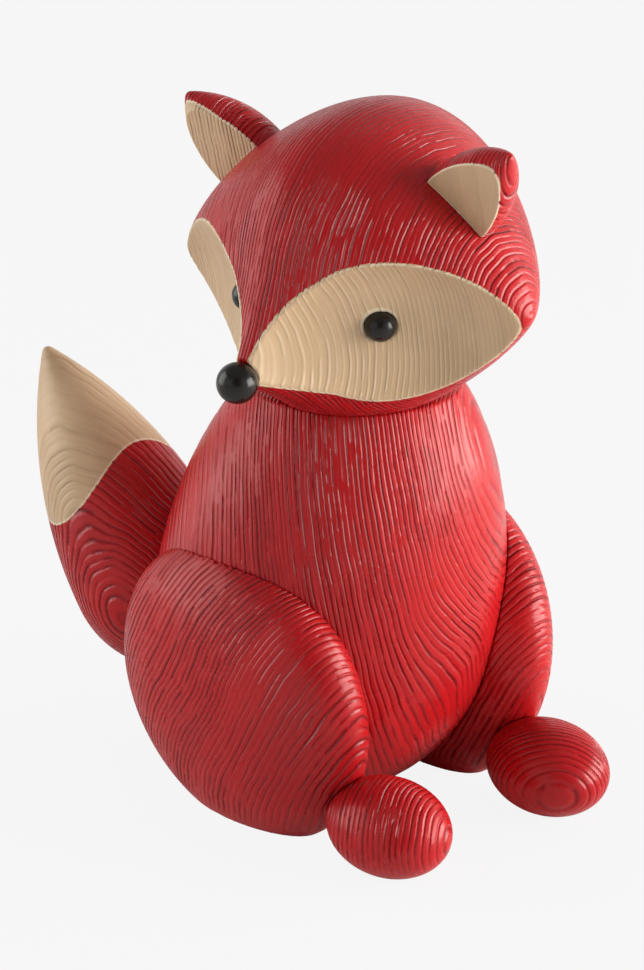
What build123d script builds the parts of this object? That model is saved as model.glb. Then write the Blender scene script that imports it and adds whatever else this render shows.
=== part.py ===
"""A sitting fox carved in wood and glued up on dowels, with a head that turns on its neck dowel.

Millimetres. Z is up, the fox faces -Y and its left is +X. The origin is the middle of the body's
flat base, on the surface that the fox sits on.
"""

import os
from math import cos, radians, sin, sqrt, tan

from build123d import *

# Body: an egg that leans forward, flat at the floor and at the neck.
body_radius = 42.8
body_lean = 13.7
belly_height = 43.5
base_cut = 3.8
neck_height = 105.0
neck_radius = 25.0

# Head: a lemon with its points at the cheeks, a short snout, and a hollow carved in each cheek.
head_turn = -77.3
head_pitch = 16.3
head_seat_gap = 0.1
cheek_half_width = 49.4
cheek_forward = 5.0
cheek_fullness = 0.14
crown_shoulder = 20.5
crown_rise = 41.1
jaw_drop = 33.2
jaw_cut = 4.66
cranium_front = 34.1
cranium_back = 49.6
snout_reach = 48.7
snout_radius = 3.8
snout_curve = 14.0
snout_blend = 39.0
snout_narrowing = 0.88

# Cheek hollow: an egg-shaped scoop whose deepest point lies beside the snout.
hollow_out = 19.2
hollow_forward = 22.2
hollow_up = 2.2
hollow_angle = 48.5
hollow_tilt = 21.0
hollow_half_length = 43.0
hollow_half_height = 31.0
hollow_radius = 26.0

# Eyes and nose: glossy beads, each turned in one piece with its shank.
eye_radius = 3.8
eye_half_thickness = 3.8
eye_proud = 3.5
eye_toward_nose = -0.4
eye_down = 0.6
nose_radius = 4.8
nose_proud = 8.2
shank_radius = 1.2
shank_length = 9.0

# Ears: a pointed, rounded horn, cut flat in front of its middle.
ear_out = 31.2
ear_up = 24.0
ear_forward = 3.0
ear_lean = 46.0
ear_length = 21.4
ear_radius = 9.7
ear_face_ahead = 4.2
ear_tip_radius = 1.6
ear_root = 9.0

# Haunches: flattened eggs that hug the body.
haunch_proud = 5.6
haunch_forward = 8.8
haunch_half_length = 38.8
haunch_half_height = 38.3
haunch_half_width = 16.6
haunch_sole_cut = 6.3
haunch_lean = 7.0
haunch_toe_in = 4.0

# Feet: eggs with flat soles, let into the front of the haunches.
foot_out = 25.7
foot_half_length = 16.8
foot_half_width = 13.2
foot_half_height = 11.4
foot_sole_cut = 0.6
foot_bite = 3.2

# Tail: a pointed spindle that stands against the back of the body.
tail_height = 40.0
tail_stand = 9.0
tail_swing = 15.5
tail_rise = 58.5
tail_radius = 21.0
tail_length = 65.0
tail_root = 24.0
tail_tip_radius = 1.6

# Dowels. The neck dowel is glued into the body and turns in the head.
neck_dowel_radius = 6.0
neck_dowel_length = 36.0
ear_dowel_radius = 2.0
ear_dowel_length = 15.0
haunch_dowel_radius = 3.0
haunch_dowel_length = 19.0
upper_dowel_forward = 25.0
upper_dowel_height = 33.0
lower_dowel_forward = 8.0
lower_dowel_height = 14.0
foot_dowel_radius = 2.5
foot_dowel_length = 18.0
tail_dowel_radius = 4.0
tail_dowel_length = 26.0
tail_dowel_height = 36.0
dowel_chamfer = 0.5

# Fits: the glue line between carved faces, round a glued shank and at the end of a bore.
glue_gap = 0.1
bore_gap = 0.05
bore_end_gap = 0.5
running_gap = 0.08

os.makedirs("parts", exist_ok=True)


def egg(front, back, width, height):
    """An egg along X, with its own half-length each way and these half-widths in Y and Z."""
    with BuildPart() as form:
        with BuildSketch(Plane.XZ):
            with BuildLine():
                EllipticalCenterArc((0, 0), front, height, start_angle=0, arc_size=90)
                EllipticalCenterArc((0, 0), back, height, start_angle=90, arc_size=90)
                Line((-back, 0), (front, 0))
            make_face()
        revolve(axis=Axis.X)
        scale(by=(1, width / height, 1))
    return form.part


def horn(length, radius, root, tip_radius):
    """A pointed round horn along X: its base, at the origin, runs straight back over the root."""
    with BuildPart() as form:
        with BuildSketch(Plane.XY) as outline:
            with BuildLine():
                TangentArc((0, radius), (length, 0), tangent=(1, 0))
                TangentArc((0, -radius), (length, 0), tangent=(1, 0))
                Polyline((0, radius), (-root, radius), (-root, -radius), (0, -radius))
            make_face()
            fillet(outline.vertices().sort_by(Axis.X)[-1], tip_radius)
            split(bisect_by=Plane.XZ, keep=Keep.BOTTOM)
        revolve(axis=Axis.X)
    return form.part


def spindle(length, radius, root, tip_radius):
    """A round spindle along X, widest at the origin: pointed ahead and closed by half an egg behind."""
    with BuildPart() as form:
        with BuildSketch(Plane.XY) as outline:
            with BuildLine():
                TangentArc((0, radius), (length, 0), tangent=(1, 0))
                TangentArc((0, -radius), (length, 0), tangent=(1, 0))
                EllipticalCenterArc((0, 0), root, radius, start_angle=90, arc_size=180)
            make_face()
            fillet(outline.vertices().sort_by(Axis.X)[-1], tip_radius)
            split(bisect_by=Plane.XZ, keep=Keep.BOTTOM)
        revolve(axis=Axis.X)
    return form.part


def round_bar(plane, radius, length):
    """A round bar along the plane's normal, half of its length on each side of the plane."""
    with BuildPart(plane) as bar:
        Cylinder(radius, length)
    return bar.part


def bore(plane, radius, length):
    """The hole for a glued dowel of this size."""
    return round_bar(plane, radius + bore_gap, length + 2 * bore_end_gap)


def save(piece, name):
    """Label a finished piece and write it out."""
    piece.label = name
    export_step(piece, f"parts/{name}.step")


def save_dowels(name, planes, radius, length):
    """Dowels of one size, one on each plane, with chamfered ends."""
    with BuildPart() as dowels:
        for plane in planes:
            add(round_bar(plane, radius, length))
        chamfer(dowels.edges().filter_by(GeomType.CIRCLE), dowel_chamfer)
    save(dowels.part, name)


# The body's egg: its lean moves the lowest point of the keel, and the base is centred on that.
lean_sin = sin(radians(body_lean))
lean_cos = cos(radians(body_lean))
keel_depth = belly_height + base_cut
body_keel = sqrt(keel_depth**2 - (body_radius * lean_sin) ** 2) / lean_cos
belly_forward = (body_keel**2 - body_radius**2) * lean_sin * lean_cos / keel_depth
neck_distance = (neck_height - belly_height) / lean_cos
body_crown = neck_distance / sqrt(1 - (neck_radius / body_radius) ** 2)
lean_axis = Vector(0, -lean_sin, lean_cos)
belly_centre = Vector(0, -belly_forward, belly_height)


def axis_forward(height):
    """How far in front of the origin the body's leaning axis passes at a height."""
    return belly_forward + tan(radians(body_lean)) * (height - belly_height)


def body_reach(forward, height, direction):
    """How far the body's surface lies from a point of its middle plane, along a level direction."""
    start = Vector(0, -forward, height) - belly_centre
    half = body_crown if start.dot(lean_axis) > 0 else body_keel
    across = Vector(0, lean_cos, lean_sin)

    def squeezed(vector):
        return Vector(
            vector.X / body_radius,
            vector.dot(across) / body_radius,
            vector.dot(lean_axis) / half,
        )

    # The squeeze turns the egg into a ball of radius 1, which a straight line leaves just once.
    step = squeezed(direction)
    here = squeezed(start)
    a = step.dot(step)
    b = step.dot(here)
    c = here.dot(here) - 1
    return (-b + sqrt(b * b - a * c)) / a


def body_form(grow):
    """The whole egg, larger all round by a gap where another piece is cut to fit it."""
    place = Plane(belly_centre, x_dir=lean_axis, z_dir=(1, 0, 0)).location
    radius = body_radius + grow
    return egg(body_crown + grow, body_keel + grow, radius, radius).moved(place)


# Haunches and feet, for one side: -1 is the fox's right and 1 its left.
haunch_out = body_radius + haunch_proud - haunch_half_width
haunch_height = haunch_half_height - haunch_sole_cut
foot_height = foot_half_height - foot_sole_cut
haunch_drop = (haunch_height - foot_height) / haunch_half_height
haunch_front = haunch_forward + haunch_half_length * sqrt(1 - haunch_drop**2)
foot_forward = haunch_front + foot_half_length - foot_bite


def haunch_form(side, grow):
    length = haunch_half_length + grow
    width = haunch_half_width + grow
    height = haunch_half_height + grow
    place = Pos(side * haunch_out, -haunch_forward, haunch_height)
    turn = Rot(Z=-side * haunch_toe_in) * Rot(Y=side * haunch_lean) * Rot(Z=-90)
    return egg(length, length, width, height).moved(place * turn)


def foot_form(side, grow):
    length = foot_half_length + grow
    place = Pos(side * foot_out, -foot_forward, foot_height) * Rot(Z=-90)
    return egg(length, length, foot_half_width + grow, foot_half_height + grow).moved(place)


def haunch_planes(side):
    """Where the two dowels of a haunch cross the side of the body."""
    outward = Vector(side, 0, 0)
    spots = ((upper_dowel_forward, upper_dowel_height), (lower_dowel_forward, lower_dowel_height))
    return [
        Plane((side * body_reach(forward, height, outward), -forward, height), z_dir=outward)
        for forward, height in spots
    ]


def foot_plane(side):
    return Plane((side * foot_out, foot_half_length - foot_forward, foot_height), z_dir=(0, 1, 0))


# The tail leaves the body level, to the back and a little to the right, and then rises.
swing_direction = Vector(-sin(radians(tail_swing)), cos(radians(tail_swing)), 0)
tail_axis = swing_direction * cos(radians(tail_rise)) + Vector(0, 0, sin(radians(tail_rise)))
tail_foot = Vector(0, -axis_forward(tail_height), tail_height)
tail_centre = tail_foot + swing_direction * (body_radius + tail_stand)
tail_side = Vector(0, 0, 1).cross(swing_direction)
tail_place = Plane(tail_centre, x_dir=tail_axis, z_dir=tail_side).location
tail_dowel_forward = axis_forward(tail_dowel_height)
tail_dowel_reach = body_reach(tail_dowel_forward, tail_dowel_height, swing_direction)
tail_dowel_foot = Vector(0, -tail_dowel_forward, tail_dowel_height)
tail_plane = Plane(tail_dowel_foot + swing_direction * tail_dowel_reach, z_dir=swing_direction)

# The head's own frame: X to its left, -Y along the nose, origin between the cheeks.
neck_forward = axis_forward(neck_height)
seat_height = neck_height + head_seat_gap
cheek_height = seat_height + jaw_drop - jaw_cut
neck_plane = Plane((0, -neck_forward, neck_height))
head_place = Pos(0, -neck_forward, cheek_height) * Rot(Z=head_turn) * Rot(X=head_pitch)

# The body.
with BuildPart() as body:
    add(body_form(0))
    split(bisect_by=Plane.XY, keep=Keep.TOP)
    split(bisect_by=neck_plane, keep=Keep.BOTTOM)
    add(bore(neck_plane, neck_dowel_radius, neck_dowel_length), mode=Mode.SUBTRACT)
    add(bore(tail_plane, tail_dowel_radius, tail_dowel_length), mode=Mode.SUBTRACT)
    for side in (-1, 1):
        for plane in haunch_planes(side):
            add(bore(plane, haunch_dowel_radius, haunch_dowel_length), mode=Mode.SUBTRACT)
save(body.part, "body")
save_dowels("neck_dowel", [neck_plane], neck_dowel_radius, neck_dowel_length)
save_dowels("tail_dowel", [tail_plane], tail_dowel_radius, tail_dowel_length)

# The haunches and feet.
for name, side in (("right", -1), ("left", 1)):
    planes = haunch_planes(side)
    with BuildPart() as haunch:
        add(haunch_form(side, 0))
        split(bisect_by=Plane.XY, keep=Keep.TOP)
        add(body_form(glue_gap), mode=Mode.SUBTRACT)
        add(foot_form(side, glue_gap), mode=Mode.SUBTRACT)
        for plane in planes:
            add(bore(plane, haunch_dowel_radius, haunch_dowel_length), mode=Mode.SUBTRACT)
        add(bore(foot_plane(side), foot_dowel_radius, foot_dowel_length), mode=Mode.SUBTRACT)
    save(haunch.part, f"{name}_haunch")
    save_dowels(f"{name}_haunch_dowels", planes, haunch_dowel_radius, haunch_dowel_length)

    with BuildPart() as foot:
        add(foot_form(side, 0))
        split(bisect_by=Plane.XY, keep=Keep.TOP)
        add(bore(foot_plane(side), foot_dowel_radius, foot_dowel_length), mode=Mode.SUBTRACT)
    save(foot.part, f"{name}_foot")
    save_dowels(f"{name}_foot_dowel", [foot_plane(side)], foot_dowel_radius, foot_dowel_length)

# The tail is cut to the body and the haunches.
with BuildPart() as tail:
    add(spindle(tail_length, tail_radius, tail_root, tail_tip_radius).moved(tail_place))
    add(body_form(glue_gap), mode=Mode.SUBTRACT)
    for side in (-1, 1):
        add(haunch_form(side, glue_gap), mode=Mode.SUBTRACT)
    add(bore(tail_plane, tail_dowel_radius, tail_dowel_length), mode=Mode.SUBTRACT)
save(tail.part, "tail")


def cranium_quarter(depth, rise, grow):
    """A quarter of the lemon, above and behind the cheeks: a profile turned about their line."""
    width = cheek_half_width + grow
    top = rise + grow
    with BuildPart() as quarter:
        with BuildSketch(Plane.XZ):
            with BuildLine():
                Bezier((-width, 0), (-width, cheek_fullness * top), (-crown_shoulder, top), (0, top))
                Bezier((0, top), (crown_shoulder, top), (width, cheek_fullness * top), (width, 0))
                Line((width, 0), (-width, 0))
            make_face()
        revolve(axis=Axis.X, revolution_arc=-90)
        scale(by=(1, (depth + grow) / top, 1))
    return quarter.part


def cranium(grow):
    """The whole lemon: its front and back, and its crown and jaw, each have their own depth."""
    with BuildPart() as lemon:
        for rise, below in ((crown_rise, False), (jaw_drop, True)):
            for depth, ahead in ((cranium_back, False), (cranium_front, True)):
                quarter = cranium_quarter(depth, rise, grow)
                if below:
                    quarter = quarter.mirror(Plane.XY)
                if ahead:
                    quarter = quarter.mirror(Plane.XZ)
                add(quarter.moved(Pos(0, -cheek_forward, 0)))
    return lemon.part


def snout_half(rise, turn):
    """Half of the snout: a curve from the nose that runs smoothly onto the front of the lemon."""
    blend = radians(snout_blend)
    tip = Vector(snout_radius, -snout_reach)
    foot = Vector(cranium_front * sin(blend), -cheek_forward - cranium_front * cos(blend))
    along = Vector(cos(blend), sin(blend))
    with BuildPart() as half:
        with BuildSketch(Plane.XY):
            with BuildLine():
                Line((0, -snout_reach), tip)
                Bezier(tip, foot - along * snout_curve, foot)
                Line(foot, (0, foot.Y))
                Line((0, foot.Y), (0, -snout_reach))
            make_face()
        revolve(axis=Axis.Y, revolution_arc=turn)
        scale(by=(snout_narrowing, 1, rise / cranium_front))
    return half.part


with BuildPart() as head_form:
    add(cranium(0))
    add(snout_half(crown_rise, -180))
    add(snout_half(jaw_drop, 180))

# The left cheek's hollow runs back along the cheek and a little down.
flat_run = Vector(sin(radians(hollow_angle)), cos(radians(hollow_angle)), 0)
hollow_run = flat_run * cos(radians(hollow_tilt)) - Vector(0, 0, sin(radians(hollow_tilt)))
hollow_outward = Vector(cos(radians(hollow_angle)), -sin(radians(hollow_angle)), 0)
hollow_floor = Vector(hollow_out, -hollow_forward, hollow_up)
hollow_plane = Plane(
    hollow_floor + hollow_outward * hollow_radius,
    x_dir=hollow_run,
    z_dir=hollow_run.cross(hollow_outward),
)
hollow_egg = egg(hollow_half_length, hollow_half_length, hollow_radius, hollow_half_height)
left_hollow = hollow_egg.moved(hollow_plane.location)

# The left eye sits square on the floor of the hollow.
eye_x = -eye_toward_nose / hollow_half_length
eye_z = eye_down / hollow_half_height
eye_y = -sqrt(1 - eye_x**2 - eye_z**2)
eye_spot = hollow_plane.from_local_coords(
    Vector(eye_x * hollow_half_length, eye_y * hollow_radius, eye_z * hollow_half_height)
)
eye_normal = (
    hollow_plane.x_dir * (-eye_x / hollow_half_length)
    + hollow_plane.y_dir * (-eye_y / hollow_radius)
    + hollow_plane.z_dir * (-eye_z / hollow_half_height)
).normalized()


def bead(proud, half_length, radius, grow):
    """A bead that stands proud of the plane Z = 0, with its shank running down from its middle."""
    length = half_length + grow
    with BuildPart() as form:
        add(egg(length, length, radius + grow, radius + grow).moved(Rot(Y=-90)))
        with Locations((0, 0, -shank_length / 2)):
            Cylinder(shank_radius + grow, shank_length + 2 * grow)
    return form.part.moved(Pos(0, 0, proud - half_length))


def eye_form(grow):
    place = Plane(eye_spot, z_dir=eye_normal).location
    return bead(eye_proud, eye_half_thickness, eye_radius, grow).moved(place)


def nose_form(grow):
    place = Plane((0, -snout_reach, 0), z_dir=(0, -1, 0)).location
    return bead(nose_proud, nose_radius, nose_radius, grow).moved(place)


# The left ear leans outwards, with its flat side to the front.
ear_axis = Vector(sin(radians(ear_lean)), 0, cos(radians(ear_lean)))
ear_face = Plane((ear_out, -ear_forward, ear_up), x_dir=ear_axis, z_dir=(0, -1, 0))
ear_middle = ear_face.offset(-ear_face_ahead)
ear_dowel_plane = Plane(ear_middle.origin, z_dir=ear_axis)
ear_bore = bore(ear_dowel_plane, ear_dowel_radius, ear_dowel_length)

with BuildPart() as left_ear:
    add(horn(ear_length, ear_radius, ear_root, ear_tip_radius).moved(ear_middle.location))
    split(bisect_by=ear_face, keep=Keep.BOTTOM)
    add(cranium(glue_gap), mode=Mode.SUBTRACT)
    add(ear_bore, mode=Mode.SUBTRACT)
with BuildPart() as left_ear_dowel:
    add(round_bar(ear_dowel_plane, ear_dowel_radius, ear_dowel_length))
    chamfer(left_ear_dowel.edges().filter_by(GeomType.CIRCLE), dowel_chamfer)

# The head is carved in its own frame, then set on the neck and cut flat there.
with BuildPart() as carved_head:
    add(head_form.part)
    for cutter in (left_hollow, eye_form(bore_gap), ear_bore):
        add(cutter, mode=Mode.SUBTRACT)
        add(cutter.mirror(Plane.YZ), mode=Mode.SUBTRACT)
    add(nose_form(bore_gap), mode=Mode.SUBTRACT)
turning_length = neck_dowel_length + 2 * bore_end_gap
turning_bore = round_bar(neck_plane, neck_dowel_radius + running_gap, turning_length)
with BuildPart() as head:
    add(carved_head.part.moved(head_place))
    split(bisect_by=Plane.XY.offset(seat_height), keep=Keep.TOP)
    add(turning_bore, mode=Mode.SUBTRACT)
save(head.part, "head")
save(nose_form(0).moved(head_place), "nose")

left_pieces = {"ear": left_ear.part, "ear_dowel": left_ear_dowel.part, "eye": eye_form(0)}
for piece_name, piece in left_pieces.items():
    save(piece.moved(head_place), f"left_{piece_name}")
    save(piece.mirror(Plane.YZ).moved(head_place), f"right_{piece_name}")
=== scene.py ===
# %% [markdown]
# # A carved wooden fox
# This lesson dresses a finished construction model of a sitting fox. The construction model has
# the exact forms, smooth as a drawing. The real fox is brushed softwood: the soft early growth
# was worn away, so every growth ring stands as a ridge beside a groove. We carve those rings into
# the pieces, stain them red, paint the cheeks, ears and tail tip, and light it as in a studio.
#
# ## The construction model
# Every piece arrives in metres and in its place, and the dressed fox must not grow out of the box
# around the whole model. Lengths on the fox are written in millimetres below.

# %% Load the construction model
from math import cos, pi, radians, sin

import bpy
import numpy as np
from mathutils import Matrix, Vector
from mathutils.kdtree import KDTree


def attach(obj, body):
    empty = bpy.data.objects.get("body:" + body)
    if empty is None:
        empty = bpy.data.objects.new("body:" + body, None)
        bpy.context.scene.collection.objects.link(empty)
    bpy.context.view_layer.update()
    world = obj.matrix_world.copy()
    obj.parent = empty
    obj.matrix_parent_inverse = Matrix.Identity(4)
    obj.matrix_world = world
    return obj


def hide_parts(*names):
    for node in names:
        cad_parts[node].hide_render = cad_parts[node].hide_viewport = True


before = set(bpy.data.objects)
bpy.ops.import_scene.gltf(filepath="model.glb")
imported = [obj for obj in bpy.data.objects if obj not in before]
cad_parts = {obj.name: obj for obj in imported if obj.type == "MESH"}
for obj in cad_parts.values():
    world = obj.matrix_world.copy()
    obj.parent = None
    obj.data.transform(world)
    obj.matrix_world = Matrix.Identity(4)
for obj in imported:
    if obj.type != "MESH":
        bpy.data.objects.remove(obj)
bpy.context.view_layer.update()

MM = 0.001

# %% [markdown]
# ## The camera
# The photograph was taken with a long lens from in front of the fox, to its right and from a
# little above. A long lens keeps the forms from spreading, so the focal length matters as much as
# the direction. The lens shift slides the picture in its frame without turning the camera. Blender
# lays its sensor width along the longer side of the picture, which is the height here.

# %% Place the camera
photo_height = 970
focal_pixels = 3717
shift_right_pixels = -3
shift_up_pixels = -39
film_height = 36
photo_right = radians(40.5)
photo_above = radians(20.0)
photo_distance = 900 * MM
photo_target = Vector((0, -1.5, 85)) * MM

level_to_camera = Vector((-sin(photo_right), -cos(photo_right), 0))
toward_camera = level_to_camera * cos(photo_above) + Vector((0, 0, sin(photo_above)))
camera_right = Vector((cos(photo_right), -sin(photo_right), 0))
camera_up = toward_camera.cross(camera_right)
camera_place = photo_target + toward_camera * photo_distance

bpy.ops.object.select_all(action="DESELECT")
camera_turn = toward_camera.to_track_quat("Z", "Y").to_euler()
bpy.ops.object.camera_add(location=camera_place, rotation=camera_turn)
camera = bpy.context.object
camera.name = "photo_camera"
camera.data.sensor_width = film_height
camera.data.lens = film_height * focal_pixels / photo_height
camera.data.shift_x = shift_right_pixels / photo_height
camera.data.shift_y = shift_up_pixels / photo_height
camera.data.clip_start = 0.01
bpy.context.scene.camera = camera
print("camera at", [round(v, 3) for v in camera_place], "lens", round(camera.data.lens, 1), "mm")

# %% [markdown]
# ## Two helpers for nodes
# Floor, sky and finishes are small machines of nodes. Two kinds of node turn up again and again:
# one that calculates, and one that brings a value from one range into another. A helper for each
# keeps the machines short enough to read.

# %% Helpers for nodes
def calculate(tree, operation, first, second=None, third=None):
    """A Math node; a number sets its socket and a node's output is linked to it."""
    node = tree.nodes.new("ShaderNodeMath")
    node.operation = operation
    for place, value in enumerate((first, second, third)):
        if isinstance(value, (int, float)):
            node.inputs[place].default_value = value
        elif value is not None:
            tree.links.new(value, node.inputs[place])
    return node.outputs[0]


def spread(tree, value, old_range, new_range=(0.0, 1.0), smooth=True):
    """A Map Range node that brings a value from one range into another."""
    node = tree.nodes.new("ShaderNodeMapRange")
    node.interpolation_type = "SMOOTHSTEP" if smooth else "LINEAR"
    tree.links.new(value, node.inputs["Value"])
    sockets = ("From Min", "From Max", "To Min", "To Max")
    for socket, number in zip(sockets, old_range + new_range):
        node.inputs[socket].default_value = number
    return node.outputs["Result"]


print("helpers:", [helper.__name__ for helper in (calculate, spread)])

# %% [markdown]
# ## The floor
# The photograph's ground is an even pale grey with hardly a shadow. It starts as a plain matt
# plane, which catches the fox's soft shadow and throws pale light back up onto it.

# %% Lay the floor
floor_width = 8

bpy.ops.object.select_all(action="DESELECT")
bpy.ops.mesh.primitive_plane_add(size=floor_width)
floor = bpy.context.object
floor.name = "studio_floor"

floor_paint = bpy.data.materials.new("studio_floor_paint")
floor_paint.use_nodes = True
floor.data.materials.append(floor_paint)
tree = floor_paint.node_tree
matt = tree.nodes["Principled BSDF"]
matt.inputs["Base Color"].default_value = (0.9, 0.9, 0.9, 1)
matt.inputs["Roughness"].default_value = 0.9
matt.inputs["Specular IOR Level"].default_value = 0.0
print("floor:", floor.name, "with", floor_paint.name)

# %% [markdown]
# ## The floor's glow
# A lit floor alone is never as even as the photograph's, so the floor mixes two looks. The camera
# sees mostly a plain glow of the wanted grey, with a little of the lit floor left in it for the
# shadow. Away from the fox there is no shadow to keep, so the glow takes over, and the floor stays
# even under the lamps as well. Light that bounces off the floor onto the fox meets only the lit
# floor.

# %% Mix in the glow
pale_grey = (0.922, 0.922, 0.922, 1)
shadow_fades = (0.15, 0.6)

glow = tree.nodes.new("ShaderNodeEmission")
glow.inputs["Color"].default_value = pale_grey
floor_place = tree.nodes.new("ShaderNodeTexCoord")
from_fox = tree.nodes.new("ShaderNodeVectorMath")
from_fox.operation = "LENGTH"
tree.links.new(floor_place.outputs["Object"], from_fox.inputs[0])
distance = from_fox.outputs["Value"]
brightness = spread(tree, distance, shadow_fades, (1.02, 1.0), smooth=False)
glow_share = spread(tree, distance, shadow_fades, (0.945, 1.0), smooth=False)
floor_path = tree.nodes.new("ShaderNodeLightPath")
seen = calculate(tree, "MULTIPLY", floor_path.outputs["Is Camera Ray"], glow_share)
blend = tree.nodes.new("ShaderNodeMixShader")
tree.links.new(brightness, glow.inputs["Strength"])
tree.links.new(seen, blend.inputs["Fac"])
tree.links.new(matt.outputs["BSDF"], blend.inputs[1])
tree.links.new(glow.outputs["Emission"], blend.inputs[2])
tree.links.new(blend.outputs[0], tree.nodes["Material Output"].inputs["Surface"])
print("the shadow fades over", shadow_fades, "m")

# %% [markdown]
# ## The sky
# Glossy paint turns milky where it mirrors something bright. In the photograph the surfaces that
# face the camera keep a deep red, as if a dark cloth hung behind the camera and the ceiling were
# dimmer than the walls. The sky is such a studio: bright all round, dim overhead, dark behind the
# camera's place. The camera itself sees the plain pale grey.

# %% Build the sky
world = bpy.data.worlds.new("studio_sky")
bpy.context.scene.world = world
world.use_nodes = True
tree = world.node_tree
sky = tree.nodes["Background"]
sky.inputs["Color"].default_value = pale_grey
sky_way = tree.nodes.new("ShaderNodeTexCoord").outputs["Generated"]
facing = tree.nodes.new("ShaderNodeVectorMath")
facing.operation = "DOT_PRODUCT"
facing.inputs[1].default_value = toward_camera
upward = tree.nodes.new("ShaderNodeSeparateXYZ")
tree.links.new(sky_way, facing.inputs[0])
tree.links.new(sky_way, upward.inputs[0])
dark_cloth = spread(tree, facing.outputs["Value"], (0.82, 0.98), (0.86, 0.12))
dim_ceiling = spread(tree, upward.outputs["Z"], (0.3, 0.75), (1.0, 0.4))
studio = calculate(tree, "MULTIPLY", dark_cloth, dim_ceiling)
sky_path = tree.nodes.new("ShaderNodeLightPath")
sky_strength = tree.nodes.new("ShaderNodeMix")
sky_strength.inputs["B"].default_value = 1.0
tree.links.new(sky_path.outputs["Is Camera Ray"], sky_strength.inputs["Factor"])
tree.links.new(studio, sky_strength.inputs["A"])
tree.links.new(sky_strength.outputs["Result"], sky.inputs["Strength"])
bpy.context.scene.view_settings.view_transform = "Standard"
print("sky nodes:", len(tree.nodes))

# %% [markdown]
# ## The lamps
# The sheen on the fox tells where the lamps stood. A broad bright one on the right, low and level
# with the fox, lights the right flank. A weaker one on the left draws a pink sheen along the
# ridges of the forehead and chest. Large lamps keep both soft. The key lamp is slightly warm.

# %% Hang the lamps
def soft_lamp(name, right, toward, up, width, height, power, colour):
    """A rectangular lamp that faces the fox, placed in metres as the camera sees it."""
    place = photo_target + camera_right * right + level_to_camera * toward + Vector((0, 0, up))
    bpy.ops.object.select_all(action="DESELECT")
    aim = (place - photo_target).to_track_quat("Z", "Y").to_euler()
    bpy.ops.object.light_add(type="AREA", location=place, rotation=aim)
    lamp = bpy.context.object
    lamp.name = name
    lamp.data.shape = "RECTANGLE"
    lamp.data.size = width
    lamp.data.size_y = height
    lamp.data.energy = power
    lamp.data.color = colour
    print(name, "at", [round(v, 2) for v in place], "with", power, "W")


warm_white = (1.0, 0.975, 0.94)
plain_white = (1.0, 1.0, 1.0)
soft_lamp(
    "key_lamp", right=1.0, toward=0.04, up=0.06,
    width=1.1, height=0.8, power=23.0, colour=warm_white,
)
soft_lamp(
    "left_lamp", right=-0.95, toward=-0.12, up=0.24,
    width=0.7, height=0.9, power=5.2, colour=plain_white,
)

# %% [markdown]
# ## Growth rings
# A piece sawn from a plank and carved is cut through its growth rings, and each ring shows on the
# surface as a line. A texture painted on the surface would not fit from piece to piece. Counting
# the rings at a point in the block does: the count is a length along one direction, divided by
# the width of a ring. Real rings are not ruler-straight, so a smooth random wobble bends them.
# It is a sum of a few slow waves from a fixed seed, so the fox comes out the same each time.

# %% Count rings
wave_count = 7
usual_peak = 2.6
slow_bend, quick_bend, quick_share = 16, 3.6, 0.09
uneven_length, uneven_share = 7.0, 0.45


def wobble(points, size, seed):
    """A smooth random field between about -1 and 1, whose bumps are about one size across."""
    dice = np.random.default_rng(seed)
    total = np.zeros(len(points))
    for _ in range(wave_count):
        way = dice.normal(size=3)
        way /= np.linalg.norm(way)
        length = size * dice.uniform(1.6, 4.2)
        total += np.sin(points @ way * (2 * pi / length) + dice.uniform(0, 2 * pi))
    return total / usual_peak


def ring_count(along, points, pitch, wave, seed):
    """Rings up to a length along the grain, bent by two wobbles and uneven in width."""
    slow = wave * wobble(points, slow_bend, seed)
    quick = quick_share * pitch * wobble(points, quick_bend, seed + 50)
    bent = along + slow + quick
    return bent / pitch + uneven_share * np.sin(bent / uneven_length + seed)


sample = ring_count(np.array([50.0]), np.zeros((1, 3)), pitch=1.25, wave=0.6, seed=1)
print("rings in 50 mm:", sample.round(1))

# %% [markdown]
# ## The body's grain
# The body's lines stand upright and fan out a little towards the floor. Low on the right they
# bend round a knot. A knot pushes the rings aside around itself, so a smooth dent in the count is
# enough to bend the lines as it would.

# %% Rings of the body
body_way = np.array((0.98 * camera_right + 0.12 * toward_camera + 0.06 * camera_up).normalized())
body_middle = np.array((0.0, -2.0, 43.0))
body_fan, even_height = 0.005, 60
body_knot, body_knot_size, body_knot_push = np.array((11.0, -44.0, 42.0)), 12.0, 4.5


def knot_dent(points, place, size, push):
    """Millimetres that a knot pushes the rings aside, most at its middle."""
    return push * np.exp(-(((points - place) / size) ** 2).sum(1) / 2)


def body_rings(points):
    """Upright slices that spread towards the floor and bend round a knot low on the belly."""
    fanned = (points - body_middle) @ body_way * (1 + body_fan * (points[:, 2] - even_height))
    knot = knot_dent(points, body_knot, body_knot_size, body_knot_push)
    return ring_count(fanned - knot, points, pitch=1.25, wave=0.6, seed=1)


print("the body is sliced along", body_way.round(2))

# %% [markdown]
# ## The head's grain
# The head is stored turned to the fox's right and bowed. Its block was sliced from cheek to
# cheek: the lines run over the crown and close in small circles at the points of the cheeks. The
# ears were cut from the same plank. Working in the head's own frame keeps all of this simple.

# %% Rings of the head and ears
head_turn = radians(-77.3)
head_pitch = radians(16.3)
head_middle = np.array((0.0, -17.08, 133.64))
head_axes = np.array(Matrix.Rotation(head_turn, 3, "Z") @ Matrix.Rotation(head_pitch, 3, "X"))


def in_head(points):
    """Points of the model in the head's own frame: X to its left, -Y along the nose."""
    return (points - head_middle) @ head_axes


def head_rings(points):
    """Slices from cheek to cheek."""
    return ring_count(in_head(points)[:, 0], points, pitch=1.03, wave=0.5, seed=2)


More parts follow.
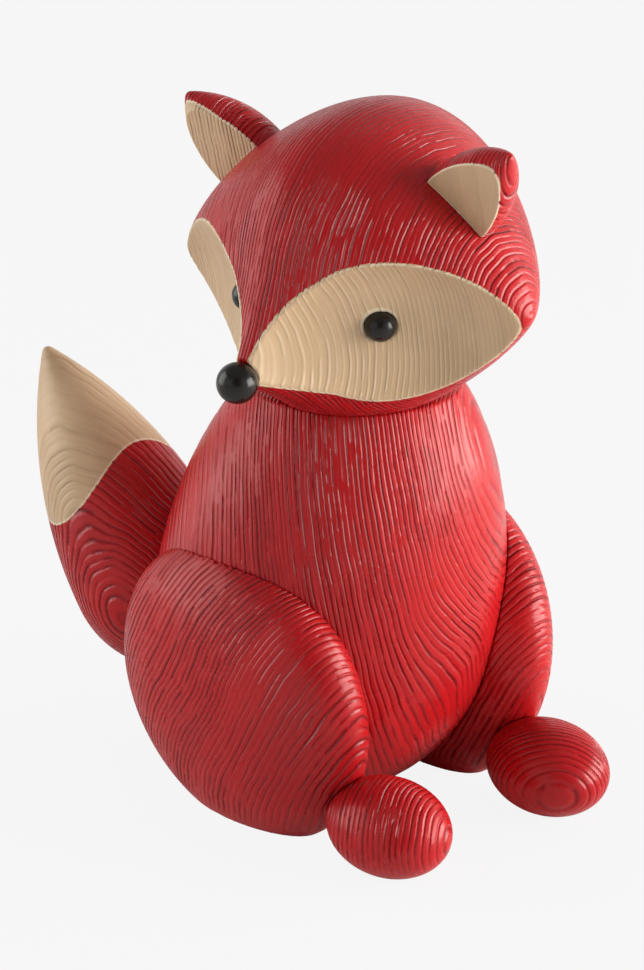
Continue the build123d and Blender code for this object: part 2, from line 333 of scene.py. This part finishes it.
def ear_rings(points):
    """The head's slices, a little wider and straighter."""
    return ring_count(in_head(points)[:, 0], points, pitch=1.05, wave=0.35, seed=15)


print("the head is sliced along", head_axes[:, 0].round(2))

# %% [markdown]
# ## The tail's grain
# The tail shows the flat side of its plank, where a ring is shaved at a low angle and draws tall
# arches, which carpenters call a cathedral. It comes from slices nearly flat with the surface,
# tilted a little so that the arches open towards the root. Deep inside they are spaced wider, so
# the lines don't crowd where the sides turn away. A knot sits at the edge of the paint.

# %% Rings of the tail
tail_flat = np.array((-0.884, -0.448, -0.133))
tail_outermost = 6.7
tail_widening = 6.0
tail_unevenness = 0.35
least_depth = -4
tail_knot, tail_knot_size, tail_knot_push = np.array((-34.1, 54.6, 62.7)), 6.0, 1.6


def tail_rings(points):
    """Slices that lie nearly flat on the tail's outer side, some of them round a knot."""
    knot = knot_dent(points, tail_knot, tail_knot_size, tail_knot_push)
    depth = tail_outermost - points @ tail_flat - knot
    depth += tail_unevenness * wobble(points, size=12, seed=5)
    along = tail_widening * np.log1p(np.maximum(depth, least_depth) / tail_widening)
    return ring_count(along, points, pitch=0.45, wave=0.08, seed=5)


print("the tail lies flat towards", tail_flat)

# %% [markdown]
# ## The grain of the haunches and feet
# The haunches' lines climb from the back of the foot over the thigh. Each foot has its lines
# across, turned towards the other foot, and closes in a small circle at the toe. A groove exactly
# at such a circle's middle would look like a drilled hole, so the count is shifted to put a ridge
# there.

# %% Rings of the haunches and feet
haunch_way = np.array((0.1, -0.86, -0.5))
right_foot_way = np.array((0.48, -0.88, 0.0))
left_foot_way = np.array((-0.71, -0.67, -0.22))
ridge_at_toe = 0.45


def haunch_rings(points):
    """Slices from back to front, leaning back."""
    return ring_count(points @ haunch_way, points, pitch=1.45, wave=0.7, seed=8)


def foot_rings(points):
    """Slices from heel to toe, counted back from a ridge at the toe."""
    way = right_foot_way if points[:, 0].mean() < 0 else left_foot_way
    count = ring_count(points @ way, points, pitch=1.4, wave=0.45, seed=12)
    return count - count.max() + ridge_at_toe


print("haunches sliced along", haunch_way, "and feet along", right_foot_way, left_foot_way)

# %% [markdown]
# ## Where the paint goes
# Cream paint covers the hollow of each cheek. A picture of the cheeks would blur close up, so
# each painted piece stores a distance instead: how far a point lies inside the painted area. Such
# a distance changes slowly, and the edge stays sharp however close the camera comes. The hollow is
# an ellipsoid cut out of the head: its floor lies on the ellipsoid and the rest of the head
# outside. With a small margin added, the distance is positive on the floor of the hollow and just
# over its edge, and negative on the rest of the head.

# %% Distance to the cheeks' edge
hollow_floor = np.array((19.2, -22.2, 2.2))
hollow_angle = radians(48.5)
hollow_tilt = radians(21.0)
hollow_halves = np.array((43.0, 26.0, 31.0))
cheek_margin = 0.55
hollow_run = np.array((
    sin(hollow_angle) * cos(hollow_tilt),
    cos(hollow_angle) * cos(hollow_tilt),
    -sin(hollow_tilt),
))
hollow_out = np.array((cos(hollow_angle), -sin(hollow_angle), 0.0))
hollow_side = np.cross(hollow_run, hollow_out)
hollow_axes = np.stack([hollow_run, hollow_out, hollow_side], 1)
hollow_middle = hollow_floor + hollow_out * hollow_halves[1]


def left_half(points):
    """Points in the head's frame, those of its right half mirrored onto the left."""
    place = in_head(points)
    place[:, 0] = np.abs(place[:, 0])
    return place


def cheek_paint(points):
    """Millimetres inside the painted hollow of either cheek."""
    shares = (left_half(points) - hollow_middle) @ hollow_axes / hollow_halves
    return (1.0 - np.linalg.norm(shares, axis=1)) * hollow_halves[1] + cheek_margin


print("hollows of", 2 * hollow_halves, "mm")

# %% [markdown]
# ## A pale rim round the eyes
# A thin pale ring shows round each eye, as if the bead had been pushed into wet paint: partly
# paint that dried thick there, partly a painted highlight on that raised edge. The distance from
# the bead is stored in the same way, and the finish lightens a narrow ring there.

# %% Distance to the eyes' rim
eye_middle = hollow_floor + 0.2 * hollow_out
eye_radius = 3.8


def eye_rim(points):
    """Millimetres from the rim of the nearer eye."""
    return np.linalg.norm(left_half(points) - eye_middle, axis=1) - eye_radius


print("eyes at", eye_middle.round(1), "in the head's left half")

# %% [markdown]
# ## Paint on the ears
# The flat front of each ear is painted. On the ear at the back of the picture the brush ran on
# round the tip, so its painted edge moves back towards the tip.

# %% Distance to the ears' edge
ear_face_forward = 3.0
ear_margin = 0.45
ear_root_out, ear_root_up = 31.2, 24.0
ear_lean = radians(46)
round_tip_from, round_tip_share = 11.0, 0.2


def ear_paint(points):
    """Millimetres in front of the painted edge of an ear."""
    place = in_head(points)
    outward = np.abs(place[:, 0]) - ear_root_out
    up_ear = outward * sin(ear_lean) + (place[:, 2] - ear_root_up) * cos(ear_lean)
    on_right_ear = place[:, 0] < 0
    share = np.where(on_right_ear, round_tip_share, 0.0)
    round_tip = share * np.maximum(up_ear - round_tip_from, 0)
    return -place[:, 1] - ear_face_forward + ear_margin + round_tip


print("ear faces", ear_face_forward, "mm in front of the head's middle")

# %% [markdown]
# ## Paint on the tail
# The tail was dipped or brushed to a wavy line that rises twice on its way round. A cosine of
# twice the angle round the tail gives that wave.

# %% Distance to the tail's edge
tail_turn = radians(15.5)
tail_rise = radians(58.5)
tail_middle = np.array((-13.84, 48.68, 40.0))
tail_level = np.array((-sin(tail_turn), cos(tail_turn), 0.0))
tail_way = tail_level * cos(tail_rise) + np.array((0.0, 0.0, sin(tail_rise)))
tail_side = np.array(camera_right) - tail_way * (np.array(camera_right) @ tail_way)
tail_side /= np.linalg.norm(tail_side)
tail_back = np.cross(tail_way, tail_side)
paint_height = 26.8
paint_wave = 5.3
paint_wave_turn = radians(51)
unpainted = -5.0


def tail_paint(points):
    """Millimetres above the wavy edge of the painted tail tip."""
    away = points - tail_middle
    round_tail = np.arctan2(away @ tail_back, away @ tail_side)
    wave = paint_wave * np.cos(2 * (round_tail + paint_wave_turn))
    return away @ tail_way - paint_height - wave


def no_paint(points):
    """A piece without paint is far outside any painted area."""
    return np.full(len(points), unpainted)


print("tail paint from", paint_height - paint_wave, "to", paint_height + paint_wave, "mm along it")

# %% [markdown]
# ## An even mesh to carve
# A construction mesh has few, long triangles, too coarse to carve. Subdividing them would leave
# them long. A voxel Remesh builds small even faces instead, at the cost of a slightly melted
# form, and Shrinkwrap then lays every point back onto the exact form.

# %% Copy a piece with even faces
def even_copy(node, voxel):
    """A copy of a construction piece, with even faces of about one voxel's size."""
    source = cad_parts[node]
    bpy.ops.object.select_all(action="DESELECT")
    piece = bpy.data.objects.new("carved_" + node, source.data.copy())
    bpy.context.scene.collection.objects.link(piece)
    bpy.context.view_layer.objects.active = piece
    piece.select_set(True)
    bpy.ops.object.mode_set(mode="EDIT")
    bpy.ops.mesh.select_all(action="SELECT")
    bpy.ops.mesh.remove_doubles(threshold=1e-6)
    bpy.ops.object.mode_set(mode="OBJECT")

    fine = piece.modifiers.new("even_faces", "REMESH")
    fine.mode = "VOXEL"
    fine.voxel_size = voxel * MM
    bpy.ops.object.modifier_apply(modifier=fine.name)
    fit = piece.modifiers.new("back_to_form", "SHRINKWRAP")
    fit.target = source
    fit.wrap_method = "NEAREST_SURFACEPOINT"
    bpy.ops.object.modifier_apply(modifier=fit.name)
    return piece


print("the body arrives with", len(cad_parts["body"].data.polygons), "faces")

# %% [markdown]
# ## How deep the grooves are
# Brushing leaves nothing even. The soles are smooth, the crown has been stroked until it is worn,
# and elsewhere the depth comes and goes. The same strength is used twice: to carve, and by the
# finish to draw. Paint fills a groove partly.

# %% Strength of the grooves
foot_sole, other_sole, sole_fade = 4.0, 1.5, 4.0
crown_from, crown_fade, crown_wear = 150, 15, 0.5
groove_half_width = 0.15
left_open_by_paint = 0.4


def groove_strength(node, points):
    """How strongly a point is grooved: not at all on the sole, less on the worn crown."""
    sole = foot_sole if node.endswith("_foot") else other_sole
    above_sole = np.clip((points[:, 2] - sole) / sole_fade, 0, 1)
    uneven = np.clip(0.9 + 0.4 * wobble(points, size=13, seed=31), 0.55, 1)
    wear = crown_wear if node == "head" else 0.0
    worn = wear * np.clip((points[:, 2] - crown_from) / crown_fade, 0, 1)
    return above_sole * uneven * (1 - worn)


def pressed_share(count, every, relief, inside, points):
    """How far each point is pressed in, from 0 to 1: a rounded groove at every so many rings."""
    gap = np.abs((count / every + 0.5) % 1.0 - 0.5)
    broken = np.clip(0.75 + 0.45 * wobble(points, size=5.0, seed=3), 0.25, 1)
    filling = np.where(inside > 0, left_open_by_paint, 1.0)
    return np.exp(-((gap / groove_half_width) ** 2)) * relief * broken * filling


on_the_crown = np.array([[0.0, 0.0, 170.0]])
print("strength high on the head:", groove_strength("head", on_the_crown).round(2))

# %% [markdown]
# ## A pale line where the paint ends
# Paint gathers at a sharp edge and dries thicker there, and the finish draws a pale line along it:
# partly that paler, thicker paint, partly a painted highlight on the raised edge. On a flat ear
# front the paint distance is the same everywhere, so it can't find that line. The mesh can:
# wherever a mesh edge runs from a painted point to an unpainted one, the paint ends on it. Those
# places go into a KDTree, which then tells each painted point how far the nearest of them is.

# %% Distance to the end of the paint
far_away = 9.0


def paint_end(mesh, points, inside):
    """Millimetres from each painted point to where the paint ends, and far away elsewhere."""
    ends = np.empty(len(mesh.edges) * 2, dtype=np.int32)
    mesh.edges.foreach_get("vertices", ends)
    first, second = ends.reshape(-1, 2).T
    crossing = (inside[first] > 0) != (inside[second] > 0)
    first, second = first[crossing], second[crossing]
    share = inside[first] / (inside[first] - inside[second])
    places = points[first] + (points[second] - points[first]) * share[:, None]
    finder = KDTree(len(places))
    for index, place in enumerate(places.tolist()):
        finder.insert(place, index)
    finder.balance()
    away = np.full(len(points), far_away)
    if len(places):
        for index in np.nonzero(inside > 0)[0].tolist():
            away[index] = finder.find(points[index])[2]
    return away


print("a point without paint stores", far_away, "mm")

# %% [markdown]
# ## Pressing the grooves in
# A vertex group marks how far each point is pressed in, and a Displace modifier presses the marked
# points inwards along their normals. Pressing inwards keeps the fox inside its box.

# %% Press the grooves
least_weight = 0.02


def press_grooves(piece, weights, depth):
    """Press the points of a piece in, each by its own share of a depth."""
    group = piece.vertex_groups.new(name="groove")
    for index, weight in enumerate(weights.tolist()):
        if weight > least_weight:
            group.add((index,), weight, "REPLACE")
    press = piece.modifiers.new("press_grooves", "DISPLACE")
    press.vertex_group = group.name
    press.mid_level = 0.0
    press.strength = -depth * MM
    bpy.ops.object.modifier_apply(modifier=press.name)
    piece.vertex_groups.clear()
    bpy.ops.object.shade_smooth()


print("shares up to", least_weight, "are not pressed")

# %% [markdown]
# ## Carving a piece
# Every red piece is made by one recipe: an even copy, its ring count, paint distance and groove
# strength, and then the grooves. The values stay on the mesh as attributes, so the finish can draw
# each groove finer than the faces are.

# %% The carving recipe
wood = {}


def carve(node, body, voxel, depth, every, rings, paint, stain):
    """Carve the growth rings of one piece and store what its finish needs."""
    piece = even_copy(node, voxel)
    mesh = piece.data
    flat = np.empty(len(mesh.vertices) * 3)
    mesh.vertices.foreach_get("co", flat)
    points = flat.reshape(-1, 3) / MM
    count = rings(points)
    inside = paint(points)
    relief = groove_strength(node, points)
    press_grooves(piece, pressed_share(count, every, relief, inside, points), depth)

    attributes = {
        "ring": count,
        "paint": inside,
        "relief": relief,
        "stain": np.full(len(points), stain),
        "rim": np.minimum(eye_rim(points), paint_end(mesh, points, inside)),
    }
    for name, values in attributes.items():
        layer = mesh.attributes.new(name, "FLOAT", "POINT")
        layer.data.foreach_set("value", values.astype(np.float32))
    mesh.materials.clear()
    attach(piece, body)
    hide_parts(node)
    wood[node] = piece
    print(piece.name, "faces:", len(mesh.polygons))


print("ready to carve")

# %% [markdown]
# ## Body, head and tail
# The voxels are about as fine as they can be while each piece stays below 100,000 faces. On the
# large body and head that is too coarse for every ring, so only every second one is pressed in,
# and the finish draws the rest. The stain value says how the lines of painted wood look: above
# zero the grooves are dark, partly stain settled in them and partly painted shade; below zero the
# lines are painted pale, a painted highlight on small ridges, as on the cheeks.

# %% Carve the body, head and tail
carve(
    "body", "seat", voxel=0.68, depth=0.16, every=2,
    rings=body_rings, paint=no_paint, stain=0.0,
)
carve(
    "head", "turning_head", voxel=0.57, depth=0.08, every=2,
    rings=head_rings, paint=cheek_paint, stain=-0.4,
)
carve(
    "tail", "seat", voxel=0.375, depth=0.14, every=1,
    rings=tail_rings, paint=tail_paint, stain=0.1,
)

# %% [markdown]
# ## Haunches, feet and ears
# These come in pairs that are not quite alike: the right ear has dark grooves in its paint, as an
# ear with worn paint has, partly painted shade, and the left ear's paint is nearly smooth, with
# faint pale lines painted as a highlight on its ridges.

# %% Carve the haunches, feet and ears
# Right ear: dark grooves, settled stain and painted shade. Left ear: pale lines painted as a
# highlight.
for side, ear_stain_and_highlight in (("right", 0.8), ("left", -0.3)):
    carve(
        side + "_haunch", "seat", voxel=0.43, depth=0.14, every=1,
        rings=haunch_rings, paint=no_paint, stain=0.0,
    )
    carve(
        side + "_foot", "seat", voxel=0.27, depth=0.14, every=1,
        rings=foot_rings, paint=no_paint, stain=0.0,
    )
    carve(
        side + "_ear", "turning_head", voxel=0.2, depth=0.12, every=1,
        rings=ear_rings, paint=ear_paint, stain=ear_stain_and_highlight,
    )

# %% [markdown]
# ## Helpers for finishes
# The finishes need three more helpers: a new node group, a cloudy noise and a mix of two colours.
# The noise is read at the piece's own coordinates, so it turns with the head.

# %% Helpers for finishes
def new_group(name, inputs, outputs):
    """An empty shader node group with the named sockets, and its input and output nodes."""
    group = bpy.data.node_groups.new(name, "ShaderNodeTree")
    for socket, kind in inputs:
        group.interface.new_socket(socket, in_out="INPUT", socket_type=kind)
    for socket, kind in outputs:
        group.interface.new_socket(socket, in_out="OUTPUT", socket_type=kind)
    return group, group.nodes.new("NodeGroupInput"), group.nodes.new("NodeGroupOutput")


def cloud(tree, scale, detail, layer=None):
    """A Noise Texture on the piece's own coordinates, a different one for each layer number."""
    node = tree.nodes.new("ShaderNodeTexNoise")
    node.inputs["Scale"].default_value = scale
    node.inputs["Detail"].default_value = detail
    place = tree.nodes.new("ShaderNodeTexCoord")
    tree.links.new(place.outputs["Object"], node.inputs["Vector"])
    if layer is not None:
        node.noise_dimensions = "4D"
        tree.links.new(layer, node.inputs["W"])
    return node.outputs["Fac"]


def mixed(tree, factor, first, second):
    """A colour mix; a written colour sets its socket and a node's output is linked to it."""
    node = tree.nodes.new("ShaderNodeMix")
    node.data_type = "RGBA"
    tree.links.new(factor, node.inputs["Factor"])
    for socket, value in (("A", first), ("B", second)):
        if isinstance(value, tuple):
            node.inputs[socket].default_value = value
        else:
            tree.links.new(value, node.inputs[socket])
    return node.outputs["Result"]


print("helpers:", [helper.__name__ for helper in (new_group, cloud, mixed)])

# %% [markdown]
# ## Groove lines
# Seen close, a groove is a narrow V: one wall catches the lamp and glints, the other stays dark.
# Straight walls give that pair of lines, where a rounded dent would only look soft. Each ring has
# its own strength, drawn by its number, and breaks up into dashes, because a brush skips.

# %% A group for the groove lines
grooves, given, result = new_group(
    "ring_grooves",
    [("Ring", "NodeSocketFloat"), ("Relief", "NodeSocketFloat")],
    [("Groove", "NodeSocketFloat"), ("Height", "NodeSocketFloat"), ("Shade", "NodeSocketFloat")],
)
shifted = calculate(grooves, "ADD", given.outputs["Ring"], 0.5)
fraction = calculate(grooves, "FRACT", shifted)
gap = calculate(grooves, "ABSOLUTE", calculate(grooves, "SUBTRACT", fraction, 0.5))
number = calculate(grooves, "FLOOR", shifted)
drawn = grooves.nodes.new("ShaderNodeTexWhiteNoise")
drawn.noise_dimensions = "1D"
grooves.links.new(number, drawn.inputs["W"])
own_strength = spread(grooves, drawn.outputs["Value"], (0.1, 0.8), (0.45, 1.0), smooth=False)
ring_layer = calculate(grooves, "MULTIPLY", number, 5.7)
dashes = cloud(grooves, scale=150.0, detail=2.0, layer=ring_layer)
unbroken = spread(grooves, dashes, (0.38, 0.5), (0.25, 1.0))
dashed = calculate(grooves, "MULTIPLY", own_strength, unbroken)
strength = calculate(grooves, "MULTIPLY", dashed, given.outputs["Relief"])
line_form = spread(grooves, gap, (0.05, 0.18), (1.0, 0.0))
wall_form = spread(grooves, gap, (0.03, 0.27), (-1.0, 0.0), smooth=False)
line = calculate(grooves, "MULTIPLY", line_form, strength)
walls = calculate(grooves, "MULTIPLY", wall_form, strength)
fibre = calculate(grooves, "MULTIPLY", cloud(grooves, scale=1400.0, detail=2.0), 0.1)
grooves.links.new(line, result.inputs["Groove"])
grooves.links.new(calculate(grooves, "ADD", walls, fibre), result.inputs["Height"])
grooves.links.new(drawn.outputs["Value"], result.inputs["Shade"])
print(grooves.name, "nodes:", len(grooves.nodes))

# %% [markdown]
# ## Tint
# No wood takes stain evenly. Three things darken it: a soft cloudiness over the whole piece, the
# ring's own shade, and whatever comes in as Groove: for the red and the cream that is stain
# settled in the grooves together with painted shade there, for the beech its flecks. The stained
# red, the cream paint and the bare beech all use this, each with its own pair of colours, so it is
# a node group.

# %% A group for the tint
tint, given, result = new_group(
    "wood_tint",
    [
        ("Light", "NodeSocketColor"),
        ("Dark", "NodeSocketColor"),
        ("Groove", "NodeSocketFloat"),
        ("Shade", "NodeSocketFloat"),
    ],
    [("Color", "NodeSocketColor")],
)
cloudy = spread(tint, cloud(tint, scale=38.0, detail=4.0), (0.3, 0.7), (0.0, 0.24))
ringwise = calculate(tint, "MULTIPLY", given.outputs["Shade"], 0.12)
uneven_tint = calculate(tint, "ADD", cloudy, ringwise)
darkness = calculate(tint, "ADD", uneven_tint, given.outputs["Groove"])
wood_colour = mixed(tint, darkness, given.outputs["Light"], given.outputs["Dark"])
tint.links.new(wood_colour, result.inputs["Color"])


def tinted(tree, light, dark, groove, shade):
    """The tint group in a material, with its own two colours."""
    node = tree.nodes.new("ShaderNodeGroup")
    node.node_tree = tint
    node.inputs["Light"].default_value = light
    node.inputs["Dark"].default_value = dark
    tree.links.new(groove, node.inputs["Groove"])
    tree.links.new(shade, node.inputs["Shade"])
    return node.outputs["Color"]


print(tint.name, "nodes:", len(tint.nodes))

# %% [markdown]
# ## The stained wood
# All carved pieces share one material. It could have been one for each piece, but then a change
# of colour would have to be made nine times. What differs is read from the mesh by Attribute
# nodes, and the groove lines come from the group.

# %% Start the stained wood
red_wood = bpy.data.materials.new("red_stained_wood")
red_wood.use_nodes = True
tree = red_wood.node_tree
shader = tree.nodes["Principled BSDF"]


def stored(tree, name):
    """An Attribute node that reads a value stored on the piece."""
    node = tree.nodes.new("ShaderNodeAttribute")
    node.attribute_name = name
    return node.outputs["Fac"]


rings_node = tree.nodes.new("ShaderNodeGroup")
rings_node.node_tree = grooves
tree.links.new(stored(tree, "ring"), rings_node.inputs["Ring"])
tree.links.new(stored(tree, "relief"), rings_node.inputs["Relief"])
groove_line = rings_node.outputs["Groove"]
ring_shade = rings_node.outputs["Shade"]
print(red_wood.name, "starts with nodes:", len(tree.nodes))

# %% [markdown]
# ## The red stain and the cream paint
# Both colours come from the tint group, each with its own pair. The red has dark grooves, partly
# stain settled in them and partly painted shade. The cream has grooves of that kind where the
# stored stain is above zero, and pale lines painted as a highlight on small ridges where it is
# below. It is palest round the eyes and where the paint ends, partly thick paint and partly a
# painted highlight on that edge.

# %% Colours of the wood
light_red, dark_red = (0.55, 0.011, 0.014, 1), (0.18, 0.004, 0.006, 1)
light_cream, dark_cream = (0.7, 0.485, 0.29, 1), (0.28, 0.16, 0.08, 1)
# The first of the next two is a painted highlight on the cream's raised lines; the second is the
# pale edge line, partly thick paint and partly a painted highlight.
ridge_highlight_cream, rim_highlight_cream = (0.85, 0.67, 0.45, 1), (0.86, 0.7, 0.5, 1)
# How far the red's grooves darken: partly stain settled in them, partly painted shade.
red_groove_stain_and_shade = 0.65

stain = stored(tree, "stain")
# Above zero the stored stain darkens the cream's grooves: settled stain and painted shade.
dark_stain_and_shade = calculate(tree, "MAXIMUM", stain, 0.0)
# Below zero the stored stain paints pale lines: a painted highlight on small ridges of the paint.
pale_highlight_share = calculate(tree, "MAXIMUM", calculate(tree, "MULTIPLY", stain, -1.0), 0.0)
red_stain_and_shade_in_grooves = calculate(tree, "MULTIPLY", groove_line, red_groove_stain_and_shade)
cream_stain_and_shade_in_grooves = calculate(tree, "MULTIPLY", groove_line, dark_stain_and_shade)
painted_ridge_highlight = calculate(tree, "MULTIPLY", groove_line, pale_highlight_share)
# A pale ring round the eyes and along the paint's edge: partly thick paint, partly a painted
# highlight.
rim_highlight_share = spread(tree, stored(tree, "rim"), (0.4, 0.75), (0.9, 0.0))
red = tinted(tree, light_red, dark_red, red_stain_and_shade_in_grooves, ring_shade)
cream = tinted(tree, light_cream, dark_cream, cream_stain_and_shade_in_grooves, ring_shade)
# Painted highlights: pale lines on the ridges, then the pale ring at the paint's edge and round
# the eyes.
cream = mixed(tree, painted_ridge_highlight, cream, ridge_highlight_cream)
cream = mixed(tree, rim_highlight_share, cream, rim_highlight_cream)
print(red_wood.name, "so far has nodes:", len(tree.nodes))

# %% [markdown]
# ## The painted edge
# A brush follows an edge well but not perfectly, and paint does not reach the bottom of a groove.
# So the stored distance is roughened by a fine noise and cut back at each groove, and a very
# narrow range of it is turned into the step from red to cream.

# %% Paint over the stain
raggedness = 0.5
groove_notch = 0.3
edge_half_width = 0.06

ragged = calculate(tree, "MULTIPLY", cloud(tree, scale=420.0, detail=2.0), raggedness)
roughened = calculate(tree, "ADD", stored(tree, "paint"), ragged)
edge = calculate(tree, "SUBTRACT", roughened, raggedness / 2)
notch = calculate(tree, "MULTIPLY", groove_line, groove_notch)
notched = calculate(tree, "SUBTRACT", edge, notch)
painted = spread(tree, notched, (-edge_half_width, edge_half_width))
tree.links.new(mixed(tree, painted, red, cream), shader.inputs["Base Color"])
print(red_wood.name, "with paint has nodes:", len(tree.nodes))

# %% [markdown]
# ## Sheen and relief
# The stain was waxed, so it is fairly glossy, in patches, and the paint is duller. The groove
# lines become relief through a Bump node. Paint fills dark grooves partly. Where the lines are
# painted pale as a highlight, the relief is turned over into small ridges to go with it.

# %% Finish the wood
paint_dullness = 0.1
drawn_depth = 0.37 * MM

shader.inputs["Specular IOR Level"].default_value = 0.31
waxed = spread(tree, cloud(tree, scale=90.0, detail=3.0), (0.3, 0.7), (0.22, 0.31))
duller = calculate(tree, "MULTIPLY", painted, paint_dullness)
tree.links.new(calculate(tree, "ADD", waxed, duller), shader.inputs["Roughness"])
dark_or_pale = calculate(tree, "SIGN", stain)
painted_change = calculate(tree, "MULTIPLY_ADD", dark_or_pale, left_open_by_paint, -1.0)
filled = calculate(tree, "MULTIPLY_ADD", painted, painted_change, 1.0)
relief_height = calculate(tree, "MULTIPLY", rings_node.outputs["Height"], filled)
bump = tree.nodes.new("ShaderNodeBump")
bump.inputs["Strength"].default_value = 1.0
bump.inputs["Distance"].default_value = drawn_depth
tree.links.new(relief_height, bump.inputs["Height"])
tree.links.new(bump.outputs["Normal"], shader.inputs["Normal"])
for piece in wood.values():
    piece.data.materials.append(red_wood)
print(red_wood.name, "on", len(wood), "pieces")

# %% [markdown]
# ## Black lacquer
# The nose and eyes are turned beads with a thick black lacquer. A perfect gloss would look like
# plastic, so the lacquer is a little uneven, and slightly brown where it is thin.

# %% Lacquer for the beads
thick_black, thin_black = (0.005, 0.0045, 0.004, 1), (0.014, 0.011, 0.009, 1)

lacquer = bpy.data.materials.new("black_lacquer")
lacquer.use_nodes = True
tree = lacquer.node_tree
shader = tree.nodes["Principled BSDF"]
shader.inputs["Specular IOR Level"].default_value = 0.4
uneven_coat = cloud(tree, scale=160.0, detail=3.0)
tree.links.new(spread(tree, uneven_coat, (0.3, 0.7), (0.16, 0.24)), shader.inputs["Roughness"])
tree.links.new(mixed(tree, uneven_coat, thick_black, thin_black), shader.inputs["Base Color"])
print(lacquer.name, "nodes:", len(tree.nodes))

# %% [markdown]
# ## Plain beech
# The dowels are bare beech, hidden in the joints, but anyone who takes the fox apart sees them.
# Beech is known by its short dark flecks: a fine noise, sharpened, darkens the tint.

# %% Beech for the dowels
light_beech, dark_beech = (0.62, 0.42, 0.24, 1), (0.36, 0.21, 0.1, 1)

beech = bpy.data.materials.new("plain_beech")
beech.use_nodes = True
tree = beech.node_tree
shader = tree.nodes["Principled BSDF"]
fleck = spread(tree, cloud(tree, scale=600.0, detail=4.0), (0.4, 0.7), (0.0, 0.8))
bare = tinted(tree, light_beech, dark_beech, fleck, cloud(tree, scale=250.0, detail=2.0))
tree.links.new(bare, shader.inputs["Base Color"])
tree.links.new(spread(tree, fleck, (0.0, 0.8), (0.6, 0.72)), shader.inputs["Roughness"])
print(beech.name, "nodes:", len(tree.nodes))

# %% [markdown]
# ## Beads and dowels
# Beads and dowels are turned on a lathe and have no rings to carve, so their construction forms
# are already right. They stay as they are and only get their finish.

# %% Finish the beads and dowels
for name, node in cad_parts.items():
    if name in wood:
        continue
    finish = beech if "dowel" in name else lacquer
    node.data.materials.clear()
    node.data.materials.append(finish)
    print(name, "gets", finish.name)
